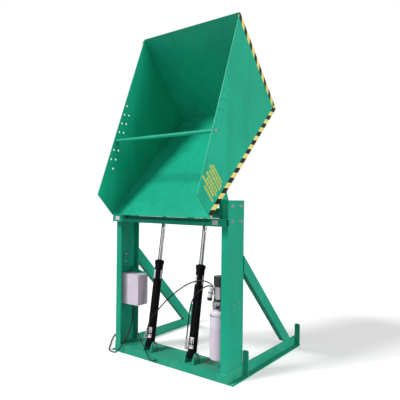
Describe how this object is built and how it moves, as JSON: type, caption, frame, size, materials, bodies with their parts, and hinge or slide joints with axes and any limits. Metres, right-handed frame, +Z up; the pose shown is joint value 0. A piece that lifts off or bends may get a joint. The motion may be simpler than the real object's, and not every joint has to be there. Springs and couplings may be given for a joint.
{
  "type": "hydraulic box dumper",
  "caption": "Stationary hydraulic box dumper: a floor base with channel posts carries an open tipping bucket, swung up and over by twin rams, with pump unit and control box.",
  "frame": {"origin": "centre of the rectangle of floor anchor holes, which is the centre of the base on the floor", "axes": "+Z up, +X to the right seen from the dump side, -Y towards the dump side; stored with the bucket fully raised"},
  "size_m": [1.8215, 1.6493, 3.2345],
  "materials": {
    "frame_paint": "semi-gloss enamel",
    "bucket_paint": "semi-gloss enamel",
    "ram_black": "gloss black enamel",
    "chrome_rod": "hard chrome, polished",
    "bright_steel": "zinc plated",
    "cast_housing": "as cast, painted",
    "box_enamel": "light textured enamel",
    "tank_plastic": "translucent natural polyethylene",
    "block_alloy": "cast and machined",
    "black_plastic": "moulded",
    "black_rubber": "smooth"
  },
  "bodies": {
    "base": {"front_sill": "frame_paint", "side_rail_left": "frame_paint", "side_rail_right": "frame_paint", "post_left": "frame_paint", "post_right": "frame_paint", "brace_left": "frame_paint", "brace_right": "frame_paint", "stop_bar": "frame_paint", "stop_pads": "frame_paint", "guard_tabs": "frame_paint", "sill_bumper": "black_rubber", "ram_ears": "frame_paint", "ram_base_pins": "bright_steel", "bearing_housings": "cast_housing", "bearing_inserts": "bright_steel", "bearing_bolts": "bright_steel", "unit_brackets": "frame_paint", "enclosure_body": "box_enamel", "enclosure_cover": "box_enamel", "relay_block": "black_plastic", "cable_glands": "black_plastic", "mounting_bolts": "bright_steel", "pump_manifold": "block_alloy", "motor_body": "block_alloy", "motor_cap": "black_plastic", "start_solenoid": "block_alloy", "oil_tank": "tank_plastic", "filler_cap": "black_plastic", "hose_fittings": "bright_steel", "hose_left": "black_rubber", "hose_right": "black_rubber", "supply_lead": "black_rubber", "supply_coil": "black_rubber", "supply_plug": "black_plastic", "control_cable": "black_rubber"},
    "bucket": {"side_plate_left": "bucket_paint", "side_plate_right": "bucket_paint", "back_plate": "bucket_paint", "platform_plate": "bucket_paint", "pivot_lugs": "bucket_paint", "pivot_tube": "bucket_paint", "stub_shafts": "bright_steel", "back_channels": "bucket_paint", "platform_ribs": "bucket_paint", "rod_ears": "bucket_paint", "rod_pins": "bright_steel", "retaining_bar": "bucket_paint", "bar_bolts": "bright_steel"},
    "ram_barrel_left": {"barrel_left": "ram_black", "gland_left": "ram_black", "port_fitting_left": "bright_steel"},
    "ram_rod_left": {"rod_left": "chrome_rod", "piston_left": "bright_steel"},
    "ram_barrel_right": {"barrel_right": "ram_black", "gland_right": "ram_black", "port_fitting_right": "bright_steel"},
    "ram_rod_right": {"rod_right": "chrome_rod", "piston_right": "bright_steel"},
    "motor_armature": {"motor_rotor": "block_alloy"}
  },
  "joints": [
    {"name": "chute_tilt", "type": "hinge", "parent": "base", "child": "bucket", "pos_m": [0, -0.535, 1.425], "axis": [1, 0, 0], "range_deg": [-134, 0]},
    {"name": "ram_swing_left", "type": "hinge", "parent": "base", "child": "ram_barrel_left", "pos_m": [-0.255, -0.597, 0.13], "axis": [1, 0, 0], "range_deg": [-9.6, 0]},
    {"name": "rod_slide_left", "type": "slide", "parent": "ram_barrel_left", "child": "ram_rod_left", "axis": [0, 0.1518, 0.9884], "range_m": [-0.641, 0]},
    {"name": "ram_swing_right", "type": "hinge", "parent": "base", "child": "ram_barrel_right", "pos_m": [0.255, -0.597, 0.13], "axis": [1, 0, 0], "range_deg": [-9.6, 0]},
    {"name": "rod_slide_right", "type": "slide", "parent": "ram_barrel_right", "child": "ram_rod_right", "axis": [0, 0.1518, 0.9884], "range_m": [-0.641, 0]},
    {"name": "motor_spin", "type": "hinge", "parent": "base", "child": "motor_armature", "pos_m": [0.52, -0.552, 0.7], "axis": [0, 0, 1], "continuous": true}
  ],
  "couplings": [
    {"joint": "ram_swing_left", "follows": "chute_tilt", "ratio": 0.00061467},
    {"joint": "rod_slide_left", "follows": "chute_tilt", "m_per_rad": 0.27388},
    {"joint": "ram_swing_right", "follows": "chute_tilt", "ratio": 0.00061467},
    {"joint": "rod_slide_right", "follows": "chute_tilt", "m_per_rad": 0.27388}
  ]
}
